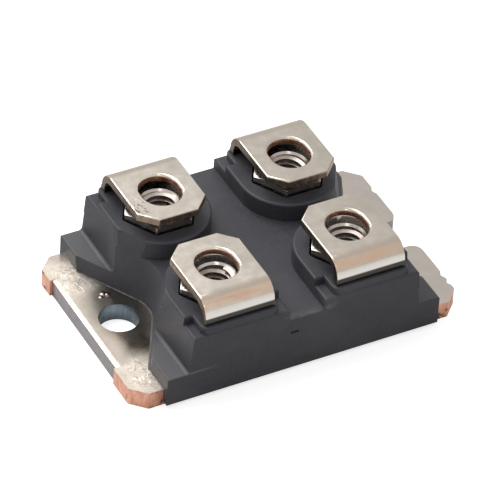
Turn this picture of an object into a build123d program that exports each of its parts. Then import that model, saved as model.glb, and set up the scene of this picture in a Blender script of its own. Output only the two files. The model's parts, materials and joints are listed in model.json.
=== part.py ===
from build123d import *
import os
from math import tan, radians, sqrt

# Rectifier diode module with four screw terminals, in millimetres.
# X runs along the base plate, Y across it and Z upwards.
# The origin is the middle of the underside of the base plate.

# Base plate: stamped copper, with a clipped corner at each end of its long sides.
PLATE_LENGTH = 38.1
PLATE_THICKNESS = 2.05
PLATE_CORNER_CUT = 1.6
PLATE_SIDE_SETBACK = 0.8
MOUNTING_HOLE = 4.3
MOUNTING_HOLE_TO_END = 3.95
MOUNTING_RIM_ROUND = 0.1
MOUTH_CORNER_ROUND = 0.35
PLATE_EDGE_ROUND = 0.15
# Between the sheared tabs at its corners the left end edge is set back a little.
END_RELIEF_DEPTH = 0.3
END_RELIEF_FROM = -6.8
END_RELIEF_TO = 8.2
# Nicks torn in the right end edge: where each begins, is deepest and ends.
END_NICK_DEPTH = 0.28
END_NICKS = [(8.3, 7.4, 6.9), (-7.1, -7.7, -8.3), (-8.6, -9.0, -9.6)]

# Moulded body, from its underside to the tops of its bosses. Its ends are set back from the plate's.
BODY_WIDTH = 25.0
BODY_END_SETBACK = 3.25
BODY_UNDERSIDE = 0.45
WING_TOP = 3.85
SADDLE_TOP = 7.1
LEDGE_TOP = 8.35
BOSS_TOP = 9.2
WING_REACH = 2.4
END_DRAFT = 5.2
# The four blocks of the tower leave a saddle this wide between left and right.
SADDLE_WIDTH = 4.1
BOSS_OUTER_DEPTH = 3.55
COLLAR_WIDTH = 8.8
COLLAR_COVER = 0.4
COLLAR_CORNER_ROUND = 0.8
COLLAR_RIM_ROUND = 0.18
TOWER_FOOT_ROUND = 0.4
RIM_ROUND = 0.25
WING_RIM_ROUND = 0.15
# A small dent moulded in the front face.
DENT_LENGTH = 0.9
DENT_HEIGHT = 0.3
DENT_DEPTH = 0.15
DENT_MIDDLE_X = -1.35
DENT_MIDDLE_Z = 5.3

# Notch in each end of the body, for the head and washer of a mounting screw.
NOTCH_RADIUS = 3.55
NOTCH_MOUTH = 16.9
NOTCH_DRAFT = 9.0

# Screw terminals: nickel-plated copper strip folded over the nuts.
TERMINAL_TO_TOWER_END = 5.85
TERMINAL_TO_SIDE = 6.1
STRIP_WIDTH = 8.0
STRIP_THICKNESS = 0.8
STRIP_TOP = 11.9
STRIP_SIDE_SETBACK = 0.55
STRIP_INNER_REACH = 4.35
STRIP_CORNER_CUT = 1.75
STRIP_BEND = 2.0
STRIP_SLOT_WIDTH = 4.2
STRIP_SLOT_LENGTH = 4.85
# Inside the body the strip is narrower and turns in to its soldered foot.
LEG_WIDTH = 4.0
LEG_SHOULDER = 7.3
FOOT_BEND = 0.5
FOOT_REACH = 4.9

# Captive hex nuts, M4, in hexagonal pockets with a well for the screw's end.
NUT_ACROSS_FLATS = 7.0
NUT_HEIGHT = 3.2
NUT_BORE = 3.3
NUT_THREAD = 4.0
NUT_CHAMFER_ANGLE = 30.0
NUT_SIDE_CLEARANCE = 0.2
NUT_TO_STRIP = 0.9
POCKET_CORNER_ROUND = 0.5
WELL_DIAMETER = 4.6
WELL_DEPTH = 1.4

# Insulated circuit inside: layers stacked on the base plate.
SOLDER_THICKNESS = 0.12
BONDED_COPPER = 0.3
TILE_THICKNESS = 0.63
TILE_TO_NOTCH = 1.25
TILE_WIDTH = 18.6
TILE_MARGIN = 0.6
PAD_GAP = 0.8
ANODE_PAD_WIDTH = 4.7
CHIP_LENGTH = 6.8
CHIP_WIDTH = 5.6
CHIP_THICKNESS = 0.3
CHIP_FROM_GAP = 1.0
WIRE_DIAMETER = 0.38
WIRE_COUNT = 4
WIRE_SPACING = 1.3
WIRE_RISE = 1.25
WIRE_BEND = 0.55
WIRE_CHIP_INSET = 1.6
WIRE_PAD_INSET = 0.75

# How far a shape that is cut away, or buried in another, runs on past the face it starts from.
OVERSHOOT = 1.0
# Two places closer than this are the same place when an edge is picked out.
SAME = 0.01

# Places worked out from the sizes above.
plate_end = PLATE_LENGTH / 2
body_side = BODY_WIDTH / 2
plate_side = body_side - PLATE_SIDE_SETBACK
hole_middle = plate_end - MOUNTING_HOLE_TO_END
hole_radius = MOUNTING_HOLE / 2
body_end = plate_end - BODY_END_SETBACK
tower_end = body_end - WING_REACH
hole_x = tower_end - TERMINAL_TO_TOWER_END
hole_y = body_side - TERMINAL_TO_SIDE
leg_outer_y = body_side - STRIP_SIDE_SETBACK
leg_middle_y = leg_outer_y - STRIP_THICKNESS / 2
nut_top = STRIP_TOP - STRIP_THICKNESS - NUT_TO_STRIP
pocket_floor = nut_top - NUT_HEIGHT
saddle_half = SADDLE_WIDTH / 2
boss_outer_y = hole_y + BOSS_OUTER_DEPTH
plate_solder_top = PLATE_THICKNESS + SOLDER_THICKNESS
tile_bottom = plate_solder_top + BONDED_COPPER
tile_top = tile_bottom + TILE_THICKNESS
pad_top = tile_top + BONDED_COPPER
chip_bottom = pad_top + SOLDER_THICKNESS
chip_top = chip_bottom + CHIP_THICKNESS
tile_end = hole_middle - NOTCH_RADIUS - TILE_TO_NOTCH
pad_outer_x = tile_end - TILE_MARGIN
pad_inner_x = PAD_GAP / 2
pad_edge_y = TILE_WIDTH / 2 - TILE_MARGIN
anode_pad_inner_y = pad_edge_y - ANODE_PAD_WIDTH
cathode_pad_edge_y = anode_pad_inner_y - PAD_GAP
foot_bottom = pad_top + SOLDER_THICKNESS
foot_inner_y = leg_outer_y - FOOT_REACH


def end_x(height):
    """Half the tower's length at a height, drawn in by the draft of its end walls."""
    return tower_end - (height - WING_TOP) * tan(radians(END_DRAFT))


def at_height(sketch, height):
    return Plane.XY.offset(height) * sketch


def prism(sketch, low, high):
    return extrude(at_height(sketch, low), amount=high - low)


def drafted(sketch_at, low, high):
    """A solid between two heights whose section is given by a function of the height."""
    return loft([at_height(sketch_at(low), low), at_height(sketch_at(high), high)])


def spanning(x_from, x_to, y_from, y_to):
    """A rectangle given by its four edges."""
    middle = Pos((x_from + x_to) / 2, (y_from + y_to) / 2)
    return middle * Rectangle(x_to - x_from, y_to - y_from)


def in_corner(shape, side_x, side_sign):
    """A shape modelled at the back right, mirrored or turned to its own corner of the module."""
    if side_x < 0 and side_sign < 0:
        return Rot(0, 0, 180) * shape
    if side_x < 0:
        return mirror(shape, about=Plane.YZ)
    if side_sign < 0:
        return mirror(shape, about=Plane.XZ)
    return shape


CORNERS = {
    "front_left": (-1, -1),
    "front_right": (1, -1),
    "back_left": (-1, 1),
    "back_right": (1, 1),
}


# Base plate

def make_base_plate():
    """A stamped blank with a round hole at the left and a slot open to the end at the right."""
    outline = Rectangle(PLATE_LENGTH, 2 * plate_side)
    outline = chamfer(outline.vertices(), PLATE_CORNER_CUT)
    outline -= spanning(-plate_end - OVERSHOOT, END_RELIEF_DEPTH - plate_end, END_RELIEF_FROM, END_RELIEF_TO)
    outline -= Pos(hole_middle, 0) * Circle(hole_radius)
    outline -= spanning(hole_middle, plate_end + OVERSHOOT, -hole_radius, hole_radius)
    right_corners = outline.vertices().filter_by_position(Axis.X, plate_end - SAME, plate_end + SAME)
    mouth_corners = right_corners.filter_by_position(Axis.Y, -hole_radius - SAME, hole_radius + SAME)
    outline = fillet(mouth_corners, MOUTH_CORNER_ROUND)
    plate = prism(outline, 0, PLATE_THICKNESS)
    plate = fillet(plate.faces().sort_by(Axis.Z)[-1].edges(), PLATE_EDGE_ROUND)
    for start, deepest, end in END_NICKS:
        root = (plate_end - END_NICK_DEPTH, deepest)
        nick = make_face(Polyline((plate_end, start), root, (plate_end, end), close=True))
        plate -= prism(nick, -OVERSHOOT, PLATE_THICKNESS + OVERSHOOT)
    plate -= prism(Pos(-hole_middle, 0) * Circle(hole_radius), -OVERSHOOT, PLATE_THICKNESS + OVERSHOOT)
    arcs = plate.edges().filter_by(GeomType.CIRCLE)
    rims = arcs.filter_by(lambda edge: abs(edge.arc_center.X + hole_middle) < SAME)
    return fillet(rims.sort_by(Axis.Z)[-1], MOUNTING_RIM_ROUND)


# Moulded body

def boss_section(height):
    """The D of a boss: round towards the middle of the module, straight towards its long side."""
    outer = end_x(height)
    radius = (outer - saddle_half) / 2
    centre_x = (outer + saddle_half) / 2
    round_part = Pos(centre_x, hole_y) * Circle(radius)
    straight_part = spanning(saddle_half, outer, hole_y, boss_outer_y)
    return round_part + straight_part


def ledge_section(height):
    return spanning(saddle_half, end_x(height), hole_y, body_side)


def make_collar():
    """The raised part round the strip's leg, as high as the boss behind it."""
    outer = leg_outer_y + COLLAR_COVER
    outline = spanning(hole_x - COLLAR_WIDTH / 2, hole_x + COLLAR_WIDTH / 2, hole_y, outer)
    outer_corners = outline.vertices().filter_by_position(Axis.Y, outer - SAME, outer + SAME)
    outline = fillet(outer_corners, COLLAR_CORNER_ROUND)
    collar = prism(outline, SADDLE_TOP, BOSS_TOP)
    return fillet(collar.faces().sort_by(Axis.Z)[-1].edges(), COLLAR_RIM_ROUND)


def make_tower_block():
    """One corner of the tower: a ledge, the D-shaped boss and the collar round the strip's leg."""
    ledge = drafted(ledge_section, SADDLE_TOP - OVERSHOOT, LEDGE_TOP)
    ledge = fillet(ledge.faces().sort_by(Axis.Z)[-1].edges(), RIM_ROUND)
    boss = drafted(boss_section, SADDLE_TOP - OVERSHOOT, BOSS_TOP)
    boss = fillet(boss.faces().sort_by(Axis.Z)[-1].edges(), RIM_ROUND)
    return ledge + boss + make_collar()


def make_notch(side):
    """Round about the mounting hole, then flaring to its mouth, and wider towards the top."""
    centre = Vector(hole_middle, 0)
    corner = Vector(body_end, NOTCH_MOUTH / 2)
    # The flare touches the round part where the line from the mouth's corner is tangent to it.
    away = (centre - corner).length
    tangent_length = sqrt(away ** 2 - NOTCH_RADIUS ** 2)
    to_centre = (centre - corner).normalized()
    across = Vector(to_centre.Y, -to_centre.X)
    along = tangent_length ** 2 / away
    offset_across = tangent_length * NOTCH_RADIUS / away
    touch = corner + to_centre * along + across * offset_across
    mouth = corner + (corner - touch).normalized() * (2 * OVERSHOOT)
    back_x = hole_middle - NOTCH_RADIUS
    sides = Polyline((touch.X, touch.Y), (mouth.X, mouth.Y), (mouth.X, -mouth.Y), (touch.X, -touch.Y))
    bottom_arc = ThreePointArc((touch.X, -touch.Y), (back_x, 0), (touch.X, touch.Y))
    sketch = make_face([*sides.edges(), bottom_arc])
    height = BOSS_TOP + OVERSHOOT - PLATE_THICKNESS
    cutter = extrude(at_height(sketch, PLATE_THICKNESS), amount=height, taper=-NOTCH_DRAFT)
    cutter += prism(sketch, BODY_UNDERSIDE - OVERSHOOT, PLATE_THICKNESS)
    if side < 0:
        cutter = mirror(cutter, about=Plane.YZ)
    return cutter


def make_pocket():
    """Hexagonal seat for a nut, and the well below it for the end of the screw."""
    across_flats = NUT_ACROSS_FLATS + 2 * NUT_SIDE_CLEARANCE
    hexagon = RegularPolygon(across_flats / 2, 6, major_radius=False)
    hexagon = fillet(hexagon.vertices(), POCKET_CORNER_ROUND)
    pocket = prism(Pos(hole_x, hole_y) * hexagon, pocket_floor, BOSS_TOP + OVERSHOOT)
    well = Pos(hole_x, hole_y) * Circle(WELL_DIAMETER / 2)
    return pocket + prism(well, pocket_floor - WELL_DEPTH, pocket_floor)


def make_trunk():
    """The middle of the body, from its underside to the saddle, with rounded rims along its sides."""
    trunk = drafted(lambda height: Rectangle(2 * end_x(height), BODY_WIDTH), BODY_UNDERSIDE, SADDLE_TOP)
    rims = trunk.faces().sort_by(Axis.Z)[-1].edges().filter_by(Axis.X)
    return fillet(rims, WING_RIM_ROUND)


def make_wings_and_trunk():
    """The low block whose ends stand out as wings, joined to the trunk by a rounded inner edge."""
    body = prism(Rectangle(2 * body_end, BODY_WIDTH), BODY_UNDERSIDE, WING_TOP) + make_trunk()
    at_wing_top = body.edges().filter_by_position(Axis.Z, WING_TOP - SAME, WING_TOP + SAME)
    across = at_wing_top.filter_by(Axis.Y)
    feet = [edge for edge in across if abs(edge.center().X) < body_end - SAME]
    body = fillet(feet, TOWER_FOOT_ROUND)
    at_wing_top = body.edges().filter_by_position(Axis.Z, WING_TOP - SAME, WING_TOP + SAME)
    rims = [edge for edge in at_wing_top if abs(edge.center().X) > tower_end + TOWER_FOOT_ROUND + SAME]
    return fillet(rims, WING_RIM_ROUND)


def make_body(sealed_in):
    body = make_wings_and_trunk()
    block = make_tower_block()
    for side_x, side_sign in CORNERS.values():
        body += in_corner(block, side_x, side_sign)
    for side in (-1, 1):
        body -= make_notch(side)
    pocket = make_pocket()
    for side_x, side_sign in CORNERS.values():
        body -= in_corner(pocket, side_x, side_sign)
    dent = Box(DENT_LENGTH, 2 * DENT_DEPTH, DENT_HEIGHT)
    body -= Pos(DENT_MIDDLE_X, -body_side, DENT_MIDDLE_Z) * dent
    for piece in sealed_in:
        body -= piece
    return body


# Screw terminals

def make_terminal():
    """The strip at the back right: flat under the screw, over the bend, down the leg, in to the foot."""
    top_z = STRIP_TOP - STRIP_THICKNESS / 2
    foot_z = foot_bottom + STRIP_THICKNESS / 2
    inner_y = hole_y - STRIP_INNER_REACH
    top_bend = STRIP_BEND - STRIP_THICKNESS / 2
    low_bend = FOOT_BEND + STRIP_THICKNESS / 2
    corners = [(inner_y, top_z), (leg_middle_y, top_z), (leg_middle_y, foot_z), (foot_inner_y, foot_z)]
    path = Plane.YZ.offset(hole_x) * FilletPolyline(*corners, radius=[top_bend, low_bend])
    start = Plane(origin=(hole_x, inner_y, top_z), x_dir=(1, 0, 0), z_dir=(0, 1, 0))
    strip = sweep(start * Rectangle(STRIP_WIDTH, STRIP_THICKNESS), path=path)
    inner_corners = strip.edges().filter_by(Axis.Z).filter_by_position(Axis.Y, inner_y - SAME, inner_y + SAME)
    strip = chamfer(inner_corners, STRIP_CORNER_CUT)
    slot = Pos(hole_x, hole_y) * SlotOverall(STRIP_SLOT_LENGTH, STRIP_SLOT_WIDTH, rotation=90)
    strip -= prism(slot, STRIP_TOP - STRIP_THICKNESS - OVERSHOOT, STRIP_TOP + OVERSHOOT)
    for side in (-1, 1):
        x_edges = sorted((hole_x + side * LEG_WIDTH / 2, hole_x + side * STRIP_WIDTH))
        trimmed = spanning(x_edges[0], x_edges[1], foot_inner_y - OVERSHOOT, leg_outer_y + OVERSHOOT)
        strip -= prism(trimmed, 0, LEG_SHOULDER)
    return strip


def make_terminal_solder():
    left = hole_x - LEG_WIDTH / 2
    right = hole_x + LEG_WIDTH / 2
    return prism(spanning(left, right, foot_inner_y, pad_edge_y), pad_top, foot_bottom)


# Captive nuts

def make_nut():
    """A hex nut with both faces turned to a cone at their corners and the bore countersunk."""
    hexagon = RegularPolygon(NUT_ACROSS_FLATS / 2, 6, major_radius=False)
    nut = extrude(hexagon, amount=NUT_HEIGHT)
    corner_radius = NUT_ACROSS_FLATS / sqrt(3)
    flat_radius = NUT_ACROSS_FLATS / 2
    drop = (corner_radius - flat_radius) * tan(radians(NUT_CHAMFER_ANGLE))
    profile = Polyline(
        (0, 0),
        (flat_radius, 0),
        (corner_radius, drop),
        (corner_radius, NUT_HEIGHT - drop),
        (flat_radius, NUT_HEIGHT),
        (0, NUT_HEIGHT),
        close=True,
    )
    nut &= revolve(Plane.XZ * make_face(profile), axis=Axis.Z)
    nut -= extrude(Circle(NUT_BORE / 2), amount=NUT_HEIGHT)
    sink = (NUT_THREAD - NUT_BORE) / 2
    rims = nut.edges().filter_by(GeomType.CIRCLE).filter_by(lambda edge: abs(edge.radius - NUT_BORE / 2) < SAME)
    nut = chamfer(rims, sink)
    return Pos(hole_x, hole_y, pocket_floor) * nut


# Insulated circuit inside

def make_layers():
    tile = Rectangle(2 * tile_end, TILE_WIDTH)
    backing = Rectangle(2 * pad_outer_x, 2 * pad_edge_y)
    anode_pad = spanning(pad_inner_x, pad_outer_x, -pad_edge_y, -anode_pad_inner_y)
    cathode_pad = spanning(pad_inner_x, pad_outer_x, -cathode_pad_edge_y, pad_edge_y)
    chip_middle_x = (pad_inner_x + pad_outer_x) / 2
    chip_front_y = -cathode_pad_edge_y + CHIP_FROM_GAP
    chip = Pos(chip_middle_x, chip_front_y + CHIP_WIDTH / 2) * Rectangle(CHIP_LENGTH, CHIP_WIDTH)
    right_hand = {
        "anode_pad": prism(anode_pad, tile_top, pad_top),
        "cathode_pad": prism(cathode_pad, tile_top, pad_top),
        "chip_solder": prism(chip, pad_top, chip_bottom),
        "diode_chip": prism(chip, chip_bottom, chip_top),
    }
    layers = {
        "base_solder": prism(backing, PLATE_THICKNESS, plate_solder_top),
        "tile_back_copper": prism(backing, plate_solder_top, tile_bottom),
        "ceramic_tile": prism(tile, tile_bottom, tile_top),
    }
    for name, shape in right_hand.items():
        layers[name + "_right"] = shape
        layers[name + "_left"] = mirror(shape, about=Plane.YZ)
    layers["bond_wires_right"] = make_bond_wires(chip_middle_x, chip_front_y)
    layers["bond_wires_left"] = make_bond_wires(-chip_middle_x, chip_front_y)
    return layers


def make_bond_wires(chip_middle_x, chip_front_y):
    """Thick wires from the top of a chip, over the gap between the pads, to the anode pad."""
    from_y = chip_front_y + WIRE_CHIP_INSET
    to_y = -anode_pad_inner_y - WIRE_PAD_INSET
    crest = chip_top + WIRE_RISE
    corners = [(from_y, chip_top), (from_y, crest), (to_y, crest), (to_y, pad_top)]
    wires = []
    for number in range(WIRE_COUNT):
        x = chip_middle_x + (number - (WIRE_COUNT - 1) / 2) * WIRE_SPACING
        path = Plane.YZ.offset(x) * FilletPolyline(*corners, radius=WIRE_BEND)
        start = Plane(origin=(x, from_y, chip_top), z_dir=(0, 0, 1))
        wires.append(sweep(start * Circle(WIRE_DIAMETER / 2), path=path))
    return Compound(children=wires)


def build_nodes():
    nodes = {"base_plate": make_base_plate()}
    nodes.update(make_layers())
    terminal = make_terminal()
    solder = make_terminal_solder()
    for corner, (side_x, side_sign) in CORNERS.items():
        nodes["terminal_" + corner] = in_corner(terminal, side_x, side_sign)
        nodes["terminal_solder_" + corner] = in_corner(solder, side_x, side_sign)
    nodes["moulded_body"] = make_body(list(nodes.values()))
    nut = make_nut()
    for corner, (side_x, side_sign) in CORNERS.items():
        nodes["nut_" + corner] = in_corner(nut, side_x, side_sign)
    return nodes


os.makedirs("parts", exist_ok=True)
for node_name, node_shape in build_nodes().items():
    export_step(node_shape, f"parts/{node_name}.step")
    print(node_name, round(node_shape.volume, 2))
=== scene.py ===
# %% [markdown]
# # A screw-terminal diode module
# The module is a black moulded block on a nickel-plated copper plate. Four plated copper strips are
# folded over hex nuts, and a screw through each strip clamps a cable lug.
# The solids come from the module's CAD model. The moulded block keeps its CAD shape, because the
# mould's rounded rims are in it. The plate, the strips and the nuts are modelled again here, because
# stamping, folding and tapping leave marks that catch the light: rolled edges, torn copper, threads.

# %% Load the solids
import json
from math import cos, pi, radians, sin

import bmesh
import bpy
from mathutils import Matrix, Vector


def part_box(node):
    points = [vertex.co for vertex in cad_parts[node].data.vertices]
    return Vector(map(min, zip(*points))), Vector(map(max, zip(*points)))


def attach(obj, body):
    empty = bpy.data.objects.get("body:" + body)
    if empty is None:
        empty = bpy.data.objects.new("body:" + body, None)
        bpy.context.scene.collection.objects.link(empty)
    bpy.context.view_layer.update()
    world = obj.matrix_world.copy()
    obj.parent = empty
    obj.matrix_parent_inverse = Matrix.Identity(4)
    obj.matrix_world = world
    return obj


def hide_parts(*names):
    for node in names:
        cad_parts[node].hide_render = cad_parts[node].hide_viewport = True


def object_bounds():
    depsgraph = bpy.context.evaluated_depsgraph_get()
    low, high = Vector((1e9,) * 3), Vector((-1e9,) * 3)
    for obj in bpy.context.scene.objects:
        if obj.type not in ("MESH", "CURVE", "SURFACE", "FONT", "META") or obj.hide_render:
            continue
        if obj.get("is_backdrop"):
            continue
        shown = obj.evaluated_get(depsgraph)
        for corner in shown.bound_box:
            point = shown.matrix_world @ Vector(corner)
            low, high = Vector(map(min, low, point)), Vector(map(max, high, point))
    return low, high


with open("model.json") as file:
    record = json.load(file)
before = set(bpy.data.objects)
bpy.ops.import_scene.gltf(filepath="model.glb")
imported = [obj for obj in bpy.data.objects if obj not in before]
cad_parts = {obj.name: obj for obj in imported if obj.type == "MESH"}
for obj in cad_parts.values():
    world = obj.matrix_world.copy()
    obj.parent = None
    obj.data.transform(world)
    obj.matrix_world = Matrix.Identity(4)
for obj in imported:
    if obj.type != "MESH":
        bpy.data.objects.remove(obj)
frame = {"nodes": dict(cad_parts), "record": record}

MM = 0.001
SLACK = 0.1 * MM
HAIR = 0.02 * MM
SAME = 0.01 * MM
cad_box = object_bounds()
cad_size = cad_box[1] - cad_box[0]
print("The solids measure", [round(side / MM, 2) for side in cad_size], "mm")

# %% [markdown]
# ## Small tools
# Blender's operators act on what is selected. These helpers select by place, in plain code, so each
# modelling step below reads as it would be done by hand: select these edges, then bevel them.

# %% Select by place
def only(*objects):
    """Selects just these objects and makes the first one active."""
    bpy.ops.object.select_all(action="DESELECT")
    for item in objects:
        item.select_set(True)
    bpy.context.view_layer.objects.active = objects[0]


def select_where(kind, test):
    """In edit mode, selects the vertices, edges or faces that pass a test. kind is VERT, EDGE or FACE."""
    bpy.ops.mesh.select_mode(type=kind)
    bpy.ops.mesh.select_all(action="DESELECT")
    mesh = bmesh.from_edit_mesh(bpy.context.edit_object.data)
    parts = {"VERT": mesh.verts, "EDGE": mesh.edges, "FACE": mesh.faces}[kind]
    count = 0
    for part in parts:
        if test(part):
            part.select_set(True)
            count += 1
    bmesh.update_edit_mesh(bpy.context.edit_object.data)
    return count


def ends_pass(edge, test):
    """True if both ends of an edge pass a test of their place."""
    return all(test(vertex.co) for vertex in edge.verts)


def near(value, target):
    return abs(value - target) < SAME


def bake_place(item):
    """Moves an object's place, turn and scale into its mesh."""
    only(item)
    bpy.ops.object.transform_apply(location=True, rotation=True, scale=True)


def apply_modifier(item, kind, **settings):
    """Adds a modifier with these settings and applies it at once."""
    only(item)
    modifier = item.modifiers.new(kind.lower(), kind)
    for name, value in settings.items():
        setattr(modifier, name, value)
    bpy.ops.object.modifier_apply(modifier=modifier.name)


def combine(item, other, operation):
    """Cuts another object out of this one, or joins it on, and removes the other."""
    apply_modifier(item, "BOOLEAN", object=other, operation=operation, solver="EXACT", use_self=True)
    bpy.data.objects.remove(other)


def box_cutter(low, high):
    """A closed box between two corners."""
    middle = (low + high) / 2
    bpy.ops.object.select_all(action="DESELECT")
    bpy.ops.mesh.primitive_cube_add(size=1, location=middle, scale=high - low)
    cutter = bpy.context.object
    bake_place(cutter)
    return cutter


def round_cutter(radius, low, high, middle, sides=64):
    """A closed cylinder, upright, between two heights."""
    place = (middle[0], middle[1], (low + high) / 2)
    bpy.ops.object.select_all(action="DESELECT")
    bpy.ops.mesh.primitive_cylinder_add(vertices=sides, radius=radius, depth=high - low, location=place)
    cutter = bpy.context.object
    bake_place(cutter)
    return cutter


def round_edges(item, width, steps=3, sharper_than=38):
    """Rounds every edge sharper than this many degrees."""
    apply_modifier(item, "BEVEL", width=width, segments=steps, limit_method="ANGLE",
                   angle_limit=radians(sharper_than), use_clamp_overlap=True)


def shade(item, crease=42):
    """Shades an object smoothly up to a crease angle, with its large flat faces kept flat."""
    only(item)
    bpy.ops.object.shade_smooth_by_angle(angle=radians(crease))
    apply_modifier(item, "WEIGHTED_NORMAL", keep_sharp=True, weight=90)


def size_in_mm(item):
    return [round(side / MM, 2) for side in item.dimensions]


# %% [markdown]
# ## The camera
# The photograph was taken from the front left, 40 degrees above the table, with a long lens. The angles
# and the distance come from a fit of the module's known sizes to the photograph.

# %% Set up the camera
CAMERA_AZIMUTH = radians(-30.06)
CAMERA_ELEVATION = radians(40.37)
CAMERA_ROLL = radians(3.93)
CAMERA_DISTANCE = 500 * MM
CAMERA_TARGET = Vector((0.58, 1.08, 5.0)) * MM
SENSOR_WIDTH = 36.0
LENS_IN_PIXELS = 4797.0
IMAGE_WIDTH = 500

back = Vector((
    sin(CAMERA_AZIMUTH) * cos(CAMERA_ELEVATION),
    -cos(CAMERA_AZIMUTH) * cos(CAMERA_ELEVATION),
    sin(CAMERA_ELEVATION),
))
level_right = Vector((cos(CAMERA_AZIMUTH), sin(CAMERA_AZIMUTH), 0))
level_up = back.cross(level_right)
right = cos(CAMERA_ROLL) * level_right + sin(CAMERA_ROLL) * level_up
up = cos(CAMERA_ROLL) * level_up - sin(CAMERA_ROLL) * level_right

camera_data = bpy.data.cameras.new("camera")
camera_data.sensor_width = SENSOR_WIDTH
camera_data.lens = LENS_IN_PIXELS / IMAGE_WIDTH * SENSOR_WIDTH
camera_data.clip_start = 10 * MM
camera = bpy.data.objects.new("camera", camera_data)
turn = Matrix((right, up, back)).transposed().to_4x4()
camera.matrix_world = Matrix.Translation(CAMERA_TARGET + back * CAMERA_DISTANCE) @ turn
bpy.context.scene.collection.objects.link(camera)
bpy.context.scene.camera = camera
bpy.context.scene.view_settings.view_transform = "Standard"
print("The camera's lens is", round(camera_data.lens, 1), "mm long")

# %% [markdown]
# ## Floor and light
# A product like this is photographed on white, under broad soft lamps. The main lamp hangs high up at the
# back left: the bright arc on each slot's right rim and the white line along the plate's rolled end both
# mirror that place. A weaker one stands lower at the left. A small flash by the camera puts a bright
# dot on each rounded corner that faces it. The world is plain pale light. The floor lies a hair under the
# plate, because two faces in one plane would flicker.

# %% Floor
FLOOR_SIZE = 3.0
FLOOR_COLOUR = (0.80, 0.80, 0.80, 1)
FLOOR_GLOW = 0.66

def seen_directly(nodes, links):
    """A value of 1 for rays from the camera, a reflection or clear glass, and 0 for other rays."""
    path = nodes.new("ShaderNodeLightPath")
    first = nodes.new("ShaderNodeMath")
    first.operation = "MAXIMUM"
    links.new(path.outputs["Is Camera Ray"], first.inputs[0])
    links.new(path.outputs["Is Glossy Ray"], first.inputs[1])
    second = nodes.new("ShaderNodeMath")
    second.operation = "MAXIMUM"
    links.new(first.outputs[0], second.inputs[0])
    links.new(path.outputs["Is Transmission Ray"], second.inputs[1])
    return second.outputs[0]


bpy.ops.object.select_all(action="DESELECT")
bpy.ops.mesh.primitive_plane_add(size=FLOOR_SIZE, location=(0, 0, cad_box[0].z - HAIR))
floor = bpy.context.object
floor.name = "floor"
bake_place(floor)
paper = bpy.data.materials.new("white_paper")
paper.use_nodes = True
nodes = paper.node_tree.nodes
links = paper.node_tree.links
shader = nodes["Principled BSDF"]
shader.inputs["Base Color"].default_value = FLOOR_COLOUR
shader.inputs["Roughness"].default_value = 0.9
shader.inputs["Specular IOR Level"].default_value = 0.1
shader.inputs["Emission Color"].default_value = (1, 1, 1, 1)
glow = nodes.new("ShaderNodeMath")
glow.operation = "MULTIPLY"
glow.inputs[1].default_value = FLOOR_GLOW
camera_rays = nodes.new("ShaderNodeLightPath")
links.new(camera_rays.outputs["Is Camera Ray"], glow.inputs[0])
links.new(glow.outputs[0], shader.inputs["Emission Strength"])
floor.data.materials.append(paper)
floor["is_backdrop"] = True

# %% World and lamps
WORLD_LIGHT = 0.52
LAMPS = {
    # name: (direction from the module, width in metres, brightness)
    "main_softbox": (Vector((-0.22, 0.50, 0.85)), 0.42, 5.0),
    "left_softbox": (Vector((-0.75, 0.40, 0.50)), 0.30, 0.45),
    "camera_flash": (Vector((-0.34, -0.58, 0.74)), 0.06, 16.0),
}
LAMP_DISTANCE = 0.60

world = bpy.data.worlds.new("studio")
world.use_nodes = True
bpy.context.scene.world = world
nodes = world.node_tree.nodes
links = world.node_tree.links
soft = nodes["Background"]
soft.inputs["Strength"].default_value = WORLD_LIGHT
white = nodes.new("ShaderNodeBackground")
white.inputs["Color"].default_value = (1, 1, 1, 1)
choose = nodes.new("ShaderNodeMixShader")
links.new(seen_directly(nodes, links), choose.inputs[0])
links.new(soft.outputs[0], choose.inputs[1])
links.new(white.outputs[0], choose.inputs[2])
links.new(choose.outputs[0], nodes["World Output"].inputs["Surface"])
soft.inputs["Color"].default_value = (1, 1, 1, 1)

for name, (direction, width, brightness) in LAMPS.items():
    lamp_data = bpy.data.lights.new(name, "AREA")
    lamp_data.size = width
    lamp_data.energy = brightness * pi * width ** 2
    lamp = bpy.data.objects.new(name, lamp_data)
    place = direction.normalized() * LAMP_DISTANCE
    lamp.matrix_world = Matrix.Translation(place) @ direction.to_track_quat("Z", "Y").to_matrix().to_4x4()
    bpy.context.scene.collection.objects.link(lamp)
    print(name, "shines with", round(lamp_data.energy, 2), "W")

# %% [markdown]
# ## Finishes
# Every finish starts from a noise in Object coordinates, measured in millimetres on the real surface.
# One helper turns the noise into a little difference in colour, roughness and relief. The finishes
# that need more, such as scratched plating, add to what it made.

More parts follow.
